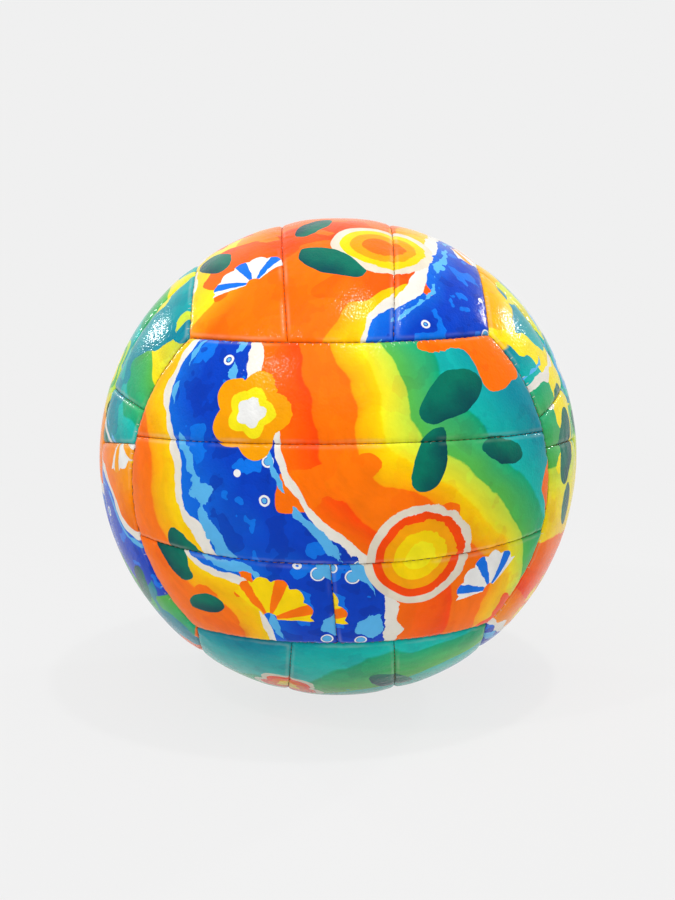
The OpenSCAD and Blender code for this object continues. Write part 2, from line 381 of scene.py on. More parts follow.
class Nodes:
    """The nodes of one material, for a Principled surface."""

    def __init__(self, name):
        self.material = bpy.data.materials.new(name)
        self.material.use_nodes = True
        self.tree = self.material.node_tree
        self.tree.nodes.clear()
        self.place = self.add("ShaderNodeTexCoord", output="Object")

    def add(self, kind, settings=None, sockets=None, output=0):
        """Adds a node: its settings first, then the values or links of its sockets."""
        node = self.tree.nodes.new(kind)
        for key, value in (settings or {}).items():
            setattr(node, key, value)
        for key, value in (sockets or {}).items():
            if isinstance(value, Value):
                self.tree.links.new(value.socket, node.inputs[key])
            elif isinstance(value, tuple) and len(node.inputs[key].default_value) == 4:
                node.inputs[key].default_value = (*value, 1)
            else:
                node.inputs[key].default_value = value
        return Value(self, node.outputs[output])

    def blend(self, share, first, second):
        """The first colour turning into the second as share goes from 0 to 1."""
        return self.add(
            "ShaderNodeMix", {"data_type": "RGBA"}, {0: share, 6: first, 7: second}, output=2
        )

    def attribute(self, label):
        """A number that the mesh holds for each of its points."""
        return self.add("ShaderNodeAttribute", {"attribute_name": label}, output="Fac")

    def reach(self, way):
        """How far the place lies in a direction, times the direction's own length."""
        return self.add(
            "ShaderNodeVectorMath",
            {"operation": "DOT_PRODUCT"},
            {0: self.place, 1: tuple(way)},
            output="Value",
        )

    def noise(self, size, place=None, detail=2.0, rough=0.5):
        """Soft noise from 0 to 1 whose lumps are about this size, in millimetres."""
        return self.add(
            "ShaderNodeTexNoise",
            None,
            {
                "Vector": place or self.place,
                "Scale": 1000 / size,
                "Detail": detail,
                "Roughness": rough,
            },
        )

    def cells(self, size, output="Distance", randomness=1.0):
        """Cells about this many millimetres wide: distance from their middles, or a colour."""
        return self.add(
            "ShaderNodeTexVoronoi",
            {"feature": "F1"},
            {"Vector": self.place, "Scale": 1000 / size, "Randomness": randomness},
            output=output,
        )

    def shifted(self, by):
        """The place, moved by this many metres each way, so that a noise starts elsewhere."""
        return self.add(
            "ShaderNodeVectorMath", {"operation": "ADD"}, {0: self.place, 1: (by, -by, by)}
        )

    def ramp(self, value, stops, between="LINEAR"):
        """The colours of these stops, blended or with hard edges, as the value goes up."""
        colours = self.add("ShaderNodeValToRGB", None, {0: value})
        ramp = colours.socket.node.color_ramp
        ramp.interpolation = between
        while len(ramp.elements) < len(stops):
            ramp.elements.new(1)
        for element, (position, colour) in zip(ramp.elements, stops):
            element.position, element.color = position, (*colour, 1)
        return colours

    def spread(self, value, low, high, start=0.0, end=1.0):
        """The value from low to high, spread out to go from start to end, and held there."""
        return self.add("ShaderNodeMapRange", None, {0: value, 1: low, 2: high, 3: start, 4: end})

    def scale(self, colour, by):
        """The colour multiplied by a number or by another colour."""
        if by.socket.type == "VALUE":
            settings, sockets = {"operation": "SCALE"}, {0: colour, "Scale": by}
        else:
            settings, sockets = {"operation": "MULTIPLY"}, {0: colour, 1: by}
        return self.add("ShaderNodeVectorMath", settings, sockets)

    def surface(self, colour, roughness, bump, bump_depth, **fixed):
        """Ends the material. The bump's height is from 0 to 1, and its depth in metres. Any
        other socket of the surface can be given by its name."""
        normal = self.add(
            "ShaderNodeBump", None, {"Strength": 1.0, "Distance": bump_depth, "Height": bump}
        )
        sockets = {"Base Color": colour, "Roughness": roughness, "Normal": normal, **fixed}
        self.add_output(self.add("ShaderNodeBsdfPrincipled", None, sockets))
        return self.material

    def add_output(self, shader):
        """Joins a shader to the material's output."""
        output = self.tree.nodes.new("ShaderNodeOutputMaterial")
        self.tree.links.new(shader.socket, output.inputs["Surface"])


# Inks of the print, as the light they reflect in red, green and blue
DEEP_BLUE = (0.001, 0.034, 0.39)
BLUE = (0.001, 0.055, 0.55)
AZURE = (0.003, 0.17, 0.78)
SKY = (0.10, 0.45, 0.82)
CREAM = (0.80, 0.72, 0.58)
WHITE = (0.86, 0.86, 0.84)
ORANGE = (1.0, 0.18, 0.001)
RED_ORANGE = (1.0, 0.070, 0.001)
AMBER = (1.0, 0.38, 0.001)
YELLOW = (1.0, 0.69, 0.001)
LEMON = (0.98, 0.84, 0.01)
LIME = (0.54, 0.80, 0.06)
GREEN = (0.10, 0.52, 0.07)
EMERALD = (0.001, 0.42, 0.20)
TURQUOISE = (0.006, 0.54, 0.45)
TEAL = (0.001, 0.28, 0.36)
DEEP_TEAL = (0.001, 0.070, 0.080)
DEEP_GREEN = (0.001, 0.17, 0.11)


def turned(x, y, turn):
    """A place's two numbers, in directions turned by this many degrees."""
    cos, sin = math.cos(math.radians(turn)), math.sin(math.radians(turn))
    return x * cos + y * sin, y * cos - x * sin


def stitched_leather(nodes, paint):
    """Ends a printed material as glossy grained leather. Painted shade darkens its colour in the
    grooves of the seams and in the needle holes; its rolled edges are painted paler, partly
    as rubbed ink and partly as a painted highlight, with painted glints by some needle holes.
    Distances from a seam are in millimetres."""
    seam, stitch, pull, face_edge = (
        nodes.attribute(label)
        for label in ("seam_distance", "stitch_run", "stitch_pull", "face_edge")
    )
    mottle = nodes.spread(nodes.noise(9, detail=5.0, rough=0.65), 0.3, 0.7, 0.95, 1.03)
    # Painted shade: the colour darkens towards the bottom of each seam's groove
    groove_shade = nodes.spread(seam, 0.05, 0.4, 0.85, 1.0)
    # A needle hole lies between two stitches, and the thread draws the edge in there
    hole = (0.5 - (stitch * (2 * math.pi)).cos() * 0.5).math("POWER", 5) * pull
    dimple_and_shade = hole * (seam * -0.75).math("EXPONENT")
    # Painted shade: the colour is darkened in the seams' grooves and, slightly, in the needle
    # holes' dimples
    colour = nodes.scale(paint, mottle * groove_shade * (1 - dimple_and_shade * 0.08))
    # The print is painted paler on the crest of the rolled edge: partly ink stretched and rubbed
    # thin there, and partly a painted highlight on the rolled edge
    crest, crest_width = 1.25, 0.625
    off_crest = (seam - crest) / crest_width
    rubbed_ink_and_highlight = (-(off_crest * off_crest)).math("EXPONENT")
    rubbed_ink_and_highlight = rubbed_ink_and_highlight * nodes.spread(nodes.noise(21), 0.42, 0.64, 0.0, 0.15)
    colour = nodes.blend(rubbed_ink_and_highlight, colour, CREAM)
    # Here and there a pale tick beside a needle hole on the face seams: a painted glint on the
    # puckered edge
    beside = (seam > 0.25) * (seam < 1.3)
    needle_glint = (hole > 0.86) * beside * (nodes.noise(13) > 0.53) * face_edge
    colour = nodes.blend(needle_glint * 0.55, colour, CREAM)
    pores = nodes.noise(0.4, detail=2.0)
    creases = nodes.noise(2.6, detail=2.5, rough=0.62)
    grain = nodes.cells(1.1)
    height = pores * 0.10 + creases * 1.5 - grain * grain * 0.7 - dimple_and_shade * 0.7
    # The pores are duller than the skin between them, so a highlight has a soft hem
    gloss = nodes.spread(pores, 0.46, 0.64, 0.10, 0.26)
    return nodes.surface(colour, gloss, height, 0.10 * MM, IOR=1.17)


def printed_leather(face, turn, wave, bands, patch, surf, water, drops, discs, fans, pebbles):
    """Leather with a loose hand-painted print. Bands of colour roll like waves; each has the
    place where it starts, from 0 to 1, and its first and last ink. Patches of a second wash
    lie over them, ragged surf runs along some of their edges, and water and drops are the
    places with darker and lighter dabs and with rings like bubbles. Discs, fans and pebbles
    have their place in radians along and across the face, their size and the rest."""
    nodes = Nodes(face + "_printed_leather")
    shift = nodes.add(
        "ShaderNodeCombineXYZ",
        None,
        dict(enumerate(nodes.attribute("shift_" + axis) for axis in "xyz")),
    )
    nodes.place = nodes.add(
        "ShaderNodeVectorMath", {"operation": "ADD"}, {0: nodes.place, 1: shift}
    )
    along, across, outward = (nodes.reach(x / BALL_R for x in way) for way in FACE_WAYS[face])
    # One noise makes every edge ragged, and another makes round shapes crooked
    ragged = nodes.noise(4.5, detail=5.0, rough=0.6) - 0.5
    wobble = nodes.noise(19, detail=1.5) - 0.5
    fray, warp = 0.018, 0.42
    x = along.math("ARCTAN2", outward) + ragged * fray
    y = across.math("ARCSINE") + ragged * fray
    run, rise = turned(
        x + (nodes.noise(52, detail=2.5) - 0.5) * warp,
        y + (nodes.noise(69, detail=2.5) - 0.5) * warp,
        turn,
    )
    wave_height, wave_count, wave_start = wave
    field = (run + (rise * wave_count + wave_start).sin() * wave_height) * 0.5 + 0.5
    stops = []
    for (start, first, last), (end, _, _) in zip(bands, [*bands[1:], (1.0, None, None)]):
        stops += [(start, first), (end - 0.001, last)]
    colour = nodes.ramp(field, stops)
    # A second wash of paint lies over parts of the first, with a hard brushed edge
    level, noise_shift, inks = patch
    wash = nodes.noise(43, place=nodes.shifted(noise_shift), detail=2.0) + ragged * 0.03
    second = nodes.ramp(
        rise * 0.55 + wobble * 0.3 + 0.5,
        [(number / len(inks), ink) for number, ink in enumerate(inks)],
    )
    colour = nodes.blend(wash > level, colour, second)
    unwashed = wash < level
    # Thinner and thicker coats of ink, with the edges that a brush leaves
    coats = nodes.noise(27, detail=3.5, rough=0.6)
    tint = nodes.ramp(
        coats,
        [(0.0, (0.93, 0.68, 0.80)), (0.41, (0.97, 0.82, 0.88)), (0.42, (1.0, 0.93, 0.96)),
         (0.54, (1.0, 0.93, 0.96)), (0.55, (1.0, 1.0, 1.0)), (1.0, (1.0, 1.0, 1.0))],
    )
    colour = nodes.scale(colour, tint)
    dabs = nodes.noise(11, place=nodes.shifted(0.9), detail=2.5, rough=0.45)
    for low, high in water:
        where = (field > low) * (field < high) * unwashed
        colour = nodes.blend((dabs > 0.60) * where, colour, AZURE)
        colour = nodes.blend((dabs < 0.40) * where * 0.55, colour, DEEP_BLUE)
    # Bubbles: a spot of sky blue in a white ring, in some of the cells of a loose grid
    cell, ring, ring_width = 12, 0.29, 0.025
    chance = nodes.add("ShaderNodeSeparateColor", None, {0: nodes.cells(cell, "Color", 0.85)})
    away = nodes.cells(cell, randomness=0.85) + chance * 0.12 + ragged * 0.05
    for low, high in drops:
        where = (field > low) * (field < high) * unwashed * (chance > 0.4)
        colour = nodes.blend((away < 0.25) * where, colour, SKY)
        colour = nodes.blend((abs(away - ring) < ring_width) * where, colour, WHITE)
    # Surf: white froth on the edge of a band, and a trail of sky blue beside it
    thickness = nodes.noise(15, detail=2.0) - 0.2
    froth = nodes.blend(coats, WHITE, CREAM)
    for place, echo in surf:
        colour = nodes.blend(abs(field - place) < thickness * 0.036, colour, froth)
        trail = abs(field - (place + echo) + ragged * 0.01)
        colour = nodes.blend(trail < (thickness - 0.22) * 0.06, colour, SKY)
    # Ringed discs, and blossoms where they have petals
    brushed = nodes.spread(coats, 0.3, 0.7, 0.88, 1.05)
    petal_depth, ring_growth = 0.3, 0.75
    for cx, cy, radius, inks, petals in discs:
        dx, dy = x - cx, y - cy
        away = (dx * dx + dy * dy).math("SQRT") / radius + wobble * 0.18 + ragged * 0.10
        if petals:
            lobes = abs((dy.math("ARCTAN2", dx) * (petals / 2)).cos())
            away = away * (1 + petal_depth - lobes * petal_depth)
        rings = [((number / len(inks)) ** ring_growth, ink) for number, ink in enumerate(inks)]
        disc = nodes.scale(nodes.ramp(away, rings, "CONSTANT"), brushed)
        colour = nodes.blend(away < 1, colour, disc)
    # Fans with a scalloped rim, striped in two inks, without the point that they open from
    for cx, cy, radius, way, ink, shade in fans:
        u, v = turned(x - cx, y - cy, way)
        spokes = (v.math("ARCTAN2", u) * 7).cos()
        far = (u * u + v * v).math("SQRT") / radius
        inside = (far < 0.9 + abs(spokes) * 0.1) * (u > abs(v) * 0.35) * (far > 0.16)
        colour = nodes.blend(inside, colour, nodes.blend(spokes * 1.6 > far, ink, shade))
    # Dark pebbles, shaded from one side to the other
    lumps = nodes.spread(nodes.noise(8, detail=3.0), 0.35, 0.68)
    for cx, cy, length, width, way in pebbles:
        u, v = turned(x - cx, y - cy, way)
        u, v = u / length + wobble * 0.7, v / width + wobble * 0.9
        ink = nodes.blend(nodes.spread(v + lumps * 0.6, -0.6, 0.8), DEEP_TEAL, DEEP_GREEN)
        colour = nodes.blend(u * u + v * v < 1, colour, ink)
    # The ink lies in streaks that a broad brush leaves along the bands
    brush = nodes.add("ShaderNodeCombineXYZ", None, {0: field * 34, 1: rise * 6, 2: 0.0})
    streaks = nodes.spread(nodes.noise(1000, place=brush, detail=4.0), 0.3, 0.7, 0.92, 1.04)
    return stitched_leather(nodes, nodes.scale(colour, streaks))


front_print = printed_leather(
    "front",
    turn=24,
    wave=(0.10, 3.6, 0.6),
    bands=[
        (0.00, ORANGE, ORANGE), (0.18, AMBER, YELLOW), (0.27, AZURE, BLUE), (0.36, BLUE, BLUE),
        (0.45, ORANGE, RED_ORANGE), (0.54, ORANGE, ORANGE), (0.64, AMBER, YELLOW),
        (0.70, LEMON, LIME), (0.76, GREEN, EMERALD), (0.86, TURQUOISE, TEAL),
    ],
    patch=(0.60, 0.31, (RED_ORANGE, ORANGE, ORANGE)),
    surf=[(0.27, 0.03), (0.45, -0.03)],
    water=[(0.31, 0.45)],
    drops=[(0.33, 0.44)],
    discs=[
        (0.30, -0.20, 0.21, (LEMON, YELLOW, AMBER, RED_ORANGE, CREAM), 0),
        (-0.36, 0.34, 0.17, (WHITE, LEMON, AMBER, AMBER), 5),
    ],
    fans=[(-0.16, -0.50, 0.20, 70, YELLOW, ORANGE), (0.66, -0.40, 0.17, 120, WHITE, AZURE)],
    pebbles=[
        (0.47, 0.40, 0.17, 0.075, 25), (0.33, 0.17, 0.12, 0.06, 62),
        (0.66, 0.17, 0.10, 0.05, -15), (-0.62, -0.24, 0.15, 0.07, -50),
        (-0.47, -0.46, 0.11, 0.05, 12),
    ],
)
# Seams straight across outer strips: which strip, the place along it, and the lean
CROSS = {
    "front": cross_seam(-1, -2, 4),
    "left_upper": cross_seam(1, -19, -6),
    "left_lower": cross_seam(1, -8, 8),
    "right_upper": cross_seam(1, 17, 12),
    "right_lower": cross_seam(1, 7, -4),
}
cover_panel("front_upper", "front", 1, front_print)
cover_panel("front_middle", "front", 0, front_print)
cover_panel("front_lower_left", "front", -1, front_print, end=CROSS["front"])
cover_panel("front_lower_right", "front", -1, front_print, start=CROSS["front"])


# Cover panels of the back face. The middle one has the round hole over the valve, with
# its leather turned down a little at the rim.
back_print = printed_leather(
    "back",
    turn=-32,
    wave=(0.12, 3.2, 2.1),
    bands=[
        (0.00, TEAL, TURQUOISE), (0.14, EMERALD, GREEN), (0.24, LIME, LEMON),
        (0.34, YELLOW, AMBER), (0.42, ORANGE, RED_ORANGE), (0.60, ORANGE, AMBER),
        (0.72, AZURE, BLUE), (0.80, BLUE, BLUE),
    ],
    patch=(0.60, 0.17, (ORANGE, AMBER, YELLOW)),
    surf=[(0.42, 0.03), (0.72, 0.03)],
    water=[(0.76, 1.2)],
    drops=[(0.77, 1.2)],
    discs=[
        (0.45, 0.28, 0.19, (YELLOW, AMBER, ORANGE, CREAM), 0),
        (-0.44, -0.30, 0.17, (WHITE, SKY, TURQUOISE, TEAL), 6),
    ],
    fans=[(-0.40, 0.40, 0.18, 140, YELLOW, LIME), (0.30, -0.60, 0.18, 80, CREAM, AMBER)],
    pebbles=[
        (-0.62, 0.12, 0.16, 0.07, 40), (-0.30, 0.14, 0.11, 0.05, -25),
        (0.22, 0.48, 0.14, 0.06, 75), (0.60, -0.14, 0.13, 0.06, -40),
        (0.24, -0.26, 0.10, 0.05, 5),
    ],
)
cover_panel("back_upper", "back", 1, back_print)
cover_panel("back_middle", "back", 0, back_print, hole=True)
cover_panel("back_lower", "back", -1, back_print)


# Cover panels of the top face. Three strips of printed leather run from back to front over
# the ball, sewn to one another and to the four faces round them.
top_print = printed_leather(
    "top",
    turn=62,
    wave=(0.10, 4.0, 1.2),
    bands=[
        (0.00, DEEP_BLUE, BLUE), (0.20, AZURE, AZURE), (0.27, YELLOW, LEMON),
        (0.37, AMBER, ORANGE), (0.44, ORANGE, ORANGE), (0.67, AMBER, YELLOW),
        (0.75, AZURE, BLUE), (0.82, BLUE, BLUE),
    ],
    patch=(0.61, 0.53, (ORANGE, RED_ORANGE, ORANGE)),
    surf=[(0.27, -0.03), (0.75, 0.03)],
    water=[(-0.2, 0.20), (0.79, 1.2)],
    drops=[(-0.2, 0.22), (0.81, 1.2)],
    discs=[
        (0.42, 0.18, 0.19, (ORANGE, AMBER, YELLOW, CREAM), 0),
        (-0.12, -0.28, 0.15, (WHITE, SKY, AZURE, WHITE), 5),
    ],
    fans=[(0.12, 0.46, 0.18, 80, WHITE, AMBER), (0.62, -0.34, 0.18, 200, WHITE, AZURE)],
    pebbles=[
        (0.55, -0.02, 0.15, 0.07, 55), (0.22, -0.08, 0.12, 0.055, -30),
        (0.30, -0.52, 0.14, 0.06, 15), (-0.50, 0.30, 0.13, 0.06, 70),
        (-0.20, 0.14, 0.10, 0.05, 20),
    ],
)
for name, strip, colour_slot in (
    ("top_right", 1, "print_orange"),
    ("top_middle", 0, "print_red_orange"),
    ("top_left", -1, "print_yellow"),
):
    cover_panel(name, "top", strip, top_print)


# Cover panels of the bottom face. Three strips of printed leather run from front to back
# under the ball, and those at the front show as a rim of blue-green below the front face.
bottom_print = printed_leather(
    "bottom",
    turn=12,
    wave=(0.13, 3.6, 0.2),
    bands=[
        (0.00, TEAL, TURQUOISE), (0.18, EMERALD, GREEN), (0.30, TURQUOISE, TURQUOISE),
        (0.44, LIME, GREEN), (0.54, TURQUOISE, EMERALD), (0.66, ORANGE, AMBER),
        (0.75, AZURE, BLUE), (0.88, RED_ORANGE, ORANGE),
    ],
    patch=(0.60, 0.41, (TEAL, TURQUOISE, TURQUOISE)),
    surf=[(0.44, -0.03), (0.75, 0.03)],
    water=[(0.79, 0.88)],
    drops=[(0.78, 0.87)],
    discs=[
        (0.05, 0.14, 0.20, (ORANGE, AMBER, SKY, CREAM), 0),
        (-0.50, -0.22, 0.16, (YELLOW, ORANGE, RED_ORANGE, CREAM), 5),
    ],
    fans=[(0.45, -0.44, 0.18, 110, LIME, YELLOW), (-0.30, 0.48, 0.17, -30, WHITE, SKY)],
    pebbles=[
        (0.52, 0.34, 0.15, 0.07, 20), (-0.12, -0.34, 0.14, 0.06, -60),
        (0.20, -0.18, 0.11, 0.05, 10), (-0.60, 0.20, 0.13, 0.06, 35),
        (0.66, 0.0, 0.11, 0.05, 80),
    ],
)
for name, strip, colour_slot in (
    ("bottom_right", 1, "print_teal"),
    ("bottom_middle", 0, "print_teal"),
    ("bottom_left", -1, "print_green"),
):
    cover_panel(name, "bottom", strip, bottom_print)


# Cover panels of the left face, whose strips run up and down. The front one is pieced
# together from three cuts of the printed leather, and the other two are whole.
left_print = printed_leather(
    "left",
    turn=-14,
    wave=(0.11, 3.8, 1.7),
    bands=[
        (0.00, LIME, LEMON), (0.14, GREEN, EMERALD), (0.24, TURQUOISE, TEAL), (0.35, LIME, YELLOW),
        (0.42, AMBER, ORANGE), (0.54, AZURE, BLUE), (0.60, BLUE, BLUE),
        (0.71, GREEN, EMERALD), (0.81, ORANGE, RED_ORANGE), (0.92, TURQUOISE, TEAL),
    ],
    patch=(0.60, 0.23, (EMERALD, TURQUOISE, TEAL)),
    surf=[(0.54, 0.03), (0.35, -0.03)],
    water=[(0.56, 0.71)],
    drops=[(0.60, 0.70)],
    discs=[
        (0.36, 0.04, 0.17, (LEMON, AMBER, ORANGE, CREAM), 0),
        (-0.42, 0.10, 0.16, (WHITE, LEMON, GREEN, LIME), 5),
    ],
    fans=[(-0.05, 0.46, 0.17, 60, WHITE, AMBER), (-0.50, -0.44, 0.18, 150, YELLOW, LIME)],
    pebbles=[
        (-0.20, 0.30, 0.15, 0.07, 30), (0.10, -0.30, 0.13, 0.06, 70),
        (-0.10, -0.05, 0.10, 0.05, -20), (0.62, 0.42, 0.12, 0.055, -45),
        (0.60, -0.30, 0.14, 0.065, 10),
    ],
)
cover_panel("left_front_upper", "left", 1, left_print, end=CROSS["left_upper"])
cover_panel(
    "left_front_middle", "left", 1, left_print,
    start=CROSS["left_upper"], end=CROSS["left_lower"],
)
cover_panel("left_front_lower", "left", 1, left_print, start=CROSS["left_lower"])
cover_panel("left_middle", "left", 0, left_print)
cover_panel("left_back", "left", -1, left_print)


# Cover panels of the right face, whose strips run up and down. The front one is pieced
# together from three cuts of the printed leather, and the other two are whole.
right_print = printed_leather(
    "right",
    turn=18,
    wave=(0.11, 3.6, 0.9),
    bands=[
        (0.00, DEEP_BLUE, BLUE), (0.20, AMBER, ORANGE), (0.30, RED_ORANGE, ORANGE),
        (0.46, YELLOW, LEMON), (0.56, LEMON, LIME), (0.66, GREEN, EMERALD),
        (0.80, TURQUOISE, TEAL), (0.92, YELLOW, AMBER),
    ],
    patch=(0.60, 0.67, (EMERALD, LIME, LEMON)),
    surf=[(0.20, -0.03), (0.80, 0.03)],
    water=[(-0.2, 0.20)],
    drops=[(-0.2, 0.16)],
    discs=[
        (-0.26, -0.20, 0.18, (YELLOW, LEMON, AMBER, CREAM), 0),
        (0.40, 0.14, 0.16, (WHITE, SKY, TURQUOISE, TEAL), 5),
    ],
    fans=[(0.52, -0.38, 0.18, -20, LIME, YELLOW), (-0.60, 0.26, 0.17, 100, YELLOW, ORANGE)],
    pebbles=[
        (0.12, 0.42, 0.15, 0.07, -35), (0.14, 0.12, 0.11, 0.05, 50),
        (-0.12, 0.42, 0.10, 0.05, 10), (0.30, -0.20, 0.14, 0.06, 75),
        (-0.60, -0.30, 0.12, 0.055, 20),
    ],
)
cover_panel(
    "right_front_upper", "right", 1, right_print, start=CROSS["right_upper"]
)
cover_panel(
    "right_front_middle", "right", 1, right_print,
    start=CROSS["right_lower"], end=CROSS["right_upper"],
)
cover_panel("right_front_lower", "right", 1, right_print, end=CROSS["right_lower"])
cover_panel("right_middle", "right", 0, right_print)
cover_panel("right_back", "right", -1, right_print)


# Stitching. A bonded polyester lockstitch runs down in the groove of every seam, and shows
# as a row of short dark stitches, each dipping into the needle hole at its two ends.
THREAD_FROM_MIDDLE = 105.15 * MM
bpy.ops.object.select_all(action="DESELECT")
bpy.ops.mesh.primitive_cylinder_add(
    vertices=6, radius=0.19 * MM, depth=2.1 * MM, rotation=(0, math.pi / 2, 0)
)
stitch = bpy.context.object
bpy.ops.object.transform_apply(rotation=True)
bpy.ops.object.mode_set(mode="EDIT")
for cut in (-0.75 * MM, -0.3 * MM, 0.3 * MM, 0.75 * MM):
    bpy.ops.mesh.select_all(action="SELECT")
    bpy.ops.mesh.bisect(plane_co=(cut, 0, 0), plane_no=(1, 0, 0))
bpy.ops.object.mode_set(mode="OBJECT")
stitch_points = np.array([v.co for v in stitch.data.vertices])
# A stitch thins and dips towards its two ends, and lies a little askew
half, thinning, swell, dip, skew = 1.1 * MM, 0.45, 0.18 * MM, 0.5 * MM, 0.1
reach = np.abs(stitch_points[:, 0]) / half
stitch_points[:, 1:] *= (1 - thinning * reach**4)[:, None]
stitch_points[:, 2] += swell - dip * reach**2.5
stitch_points[:, 1] += skew * stitch_points[:, 0]
stitch_faces = [list(p.vertices) for p in stitch.data.polygons]
bpy.data.objects.remove(stitch)


def stitch_row(seam, face, corners):
    """The stitches of one seam of a face, from its first to its last corner."""
    seam = seam.on_ball(face)
    first, last = corners @ np.array(FACE_WAYS[face], float)
    places = seam.run(np.array([first, last]))
    count = seam.count()
    span = (places[1] - places[0] + count / 2) % count - count / 2
    low, high = sorted((places[0], places[0] + span))
    start = first - seam.axis * math.sin(seam.rise)
    start /= np.linalg.norm(start)
    side = np.cross(seam.axis, start)
    side *= math.copysign(1, (last - first) @ side)
    made = []
    for number in range(math.ceil(low + 0.5), math.floor(high - 0.5) + 1):
        turn = abs(number - places[0]) / count * 2 * math.pi
        forward = side * math.cos(turn) - start * math.sin(turn)
        out = (start * math.cos(turn) + side * math.sin(turn)) * math.cos(seam.rise)
        out += seam.axis * math.sin(seam.rise)
        directions = np.array([forward, np.cross(out, forward), out])
        made.append(out * THREAD_FROM_MIDDLE + stitch_points @ directions)
    return made


def stitching(name, node, stitches, finish):
    """Joins copies of the stitch into one piece that stands for a node of thread."""
    count = len(stitch_points)
    points = np.concatenate(stitches)
    faces = [
        [corner + number * count for corner in face]
        for number in range(len(stitches))
        for face in stitch_faces
    ]
    mesh = bpy.data.meshes.new(name)
    mesh.from_pydata(points.tolist(), [], faces)
    piece = bpy.data.objects.new(name, mesh)
    bpy.context.scene.collection.objects.link(piece)
    bpy.ops.object.select_all(action="DESELECT")
    bpy.context.view_layer.objects.active = piece
    piece.select_set(True)
    bpy.ops.object.mode_set(mode="EDIT")
    bpy.ops.mesh.select_all(action="SELECT")
    bpy.ops.mesh.normals_make_consistent(inside=False)
    bpy.ops.object.mode_set(mode="OBJECT")
    bpy.ops.object.shade_smooth_by_angle(angle=math.radians(60))
    piece.data.materials.append(finish)
    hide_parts(node)
    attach(piece, "root")


nodes = Nodes("brown_thread")
fibre = nodes.noise(0.35, detail=2.0)
thread_finish = nodes.surface(
    nodes.blend(nodes.noise(6, detail=2.0), (0.10, 0.038, 0.014), (0.30, 0.12, 0.045)),
    0.55 + fibre * 0.2,
    fibre,
    0.08 * MM,
)
# The shares of a face's length or width at which its seams start and end
FROM_TO = np.array([0.0, 1.0])
STRIP_ENDS = (STRIP_START, STRIP_END)
face_stitches, strip_stitches = [], []
for face in FACE_WAYS:
    for share, seam in enumerate(STRIP_ENDS):
        corners = wrapped((FACE_LOW, FACE_HIGH), STRIP_ENDS, FROM_TO, np.full(2, float(share)))
        face_stitches += stitch_row(seam, face, corners)
    for share, seam in enumerate(STRIP_SIDES[0]):
        corners = wrapped(STRIP_SIDES[0], STRIP_ENDS, np.full(2, float(share)), FROM_TO)
        strip_stitches += stitch_row(seam, face, corners)
for label, seam in CROSS.items():
    face, strip = label.split("_")[0], -1 if label == "front" else 1
    corners = wrapped(STRIP_SIDES[strip], (STRIP_START, seam), FROM_TO, np.ones(2))
    strip_stitches += stitch_row(seam, face, corners)
stitching("face_seam_stitches", "face_seam_thread", face_stitches, thread_finish)
stitching("strip_seam_stitches", "strip_seam_thread", strip_stitches, thread_finish)


# Valve. A moulded black rubber housing is bonded to the bladder, and a softer rubber core
# with the needle's hole is plugged into it. Both have a faint satin bloom.
def dress(node, finish):
    """Gives a CAD node its finish, in place of the plain one it was packed with."""
    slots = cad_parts[node].data.materials
    slots.clear()
    slots.append(finish)


for name, node, tint in (
    ("valve_housing_rubber", "valve_housing", (0.022, 0.022, 0.024)),
    ("valve_core_rubber", "valve_core", (0.045, 0.045, 0.047)),
):
    nodes = Nodes(name)
    bloom = nodes.noise(3, detail=4.0)
    dress(
        node,
        nodes.surface(
            nodes.blend(bloom, tint, tuple(1.8 * x for x in tint)),
            0.42 + bloom * 0.2,
            nodes.noise(0.3, detail=3.0),
            0.03 * MM,
        ),
    )


# Reinforcing ring and linings. Cream polyester-cotton cloth in a plain weave, glued behind
# the foam, with the ring doubled round the valve's hole.
def woven(name, face, tint):
    """Cloth in a plain weave whose threads run along and across a face's strips."""
    nodes = Nodes(name)
    # A thread goes over one neighbour and under the next in this length
    repeat = 0.9 * MM
    along, across = (
        nodes.reach(x * 2 * math.pi / repeat for x in way).sin() for way in FACE_WAYS[face][:2]
    )
    over = along * across * 0.5 + 0.5
    fluff = nodes.noise(1.2, detail=3.0)
    dark = tuple(0.72 * x for x in tint)
    threads = nodes.blend(over * 0.6 + fluff * 0.4, dark, tint)
    return nodes.surface(threads, 0.8 + fluff * 0.1, over, 0.15 * MM)


for face in FACE_WAYS:
    dress(face + "_lining", woven(face + "_lining_cloth", face, (0.66, 0.64, 0.58)))
dress("valve_hole_patch", woven("ring_cloth", "back", (0.74, 0.72, 0.66)))


# Foam pads. Closed-cell foam, 3 mm thick, is cut to each panel's outline and glued behind
# its leather, which makes the touch soft. The pads keep their CAD shape.
nodes = Nodes("closed_cell_foam")
cells = nodes.cells(0.8)
foam_finish = nodes.surface(
    nodes.blend(cells, (0.88, 0.87, 0.82), (0.74, 0.72, 0.66)),
    0.7 + cells * 0.15,
    cells,
    0.2 * MM,
)
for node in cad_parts:
    if node.endswith("_foam"):
        dress(node, foam_finish)


# Bladder. Dip-moulded black butyl rubber, dusted with talc so that it doesn't stick to the
# linings. It carries the valve's housing, and keeps its CAD shape.
nodes = Nodes("talced_butyl")
talc = nodes.noise(16, detail=6.0, rough=0.7)
dust = nodes.spread(talc, 0.45, 0.75)
dress(
    "bladder",
    nodes.surface(
        nodes.blend(dust, (0.018, 0.018, 0.02), (0.16, 0.16, 0.16)),
        0.45 + dust * 0.3,
        talc,
        0.1 * MM,
    ),
)


# Floor. A plain pale table that keeps the ball's soft shadow. Further out it turns into the
# backdrop's own colour, so no edge shows.
PALE = (0.871, 0.871, 0.871)
